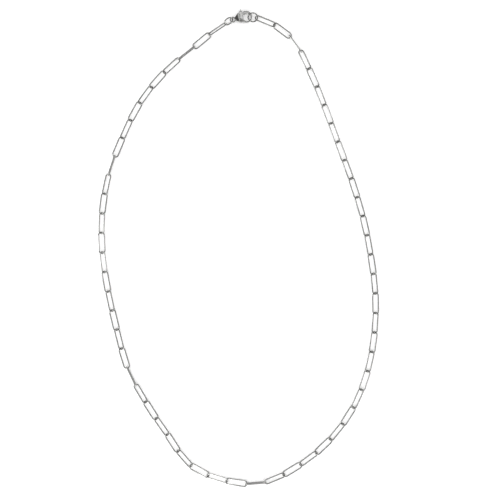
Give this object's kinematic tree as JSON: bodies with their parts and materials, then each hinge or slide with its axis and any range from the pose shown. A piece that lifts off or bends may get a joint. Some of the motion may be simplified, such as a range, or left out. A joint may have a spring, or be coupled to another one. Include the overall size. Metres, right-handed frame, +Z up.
{
  "type": "paperclip chain necklace",
  "caption": "Silver-tone necklace of long oval wire links in a paperclip chain, lying as a closed loop, joined by jump rings and a small lobster clasp with a sprung thumb lever.",
  "frame": {"origin": "on the surface that the necklace lies on, under the middle of its bounding box seen from above", "axes": "+X runs across the loop to the right, +Y runs up the loop to the clasp at its top, +Z points up from the surface"},
  "size_m": [0.144, 0.2444, 0.0051],
  "materials": {
    "link_steel": "polished, silver tone",
    "ring_steel": "polished, silver tone",
    "clasp_steel": "polished, silver tone",
    "lever_steel": "polished, silver tone",
    "rivet_steel": "polished, silver tone"
  },
  "bodies": {
    "root": {"chain_left": "link_steel", "chain_right": "link_steel", "tail_ring": "ring_steel", "end_ring": "ring_steel", "clasp_body": "clasp_steel", "lever_pin": "rivet_steel"},
    "lever": {"clasp_lever": "lever_steel"}
  },
  "joints": [
    {"name": "lever_hinge", "type": "hinge", "parent": "root", "child": "lever", "pos_m": [0.00128, 0.11641, 0.00179], "axis": [0, 0, 1], "range_deg": [0, 26], "stiffness_Nm_per_rad": 0.012, "springref_deg": -17.19}
  ]
}
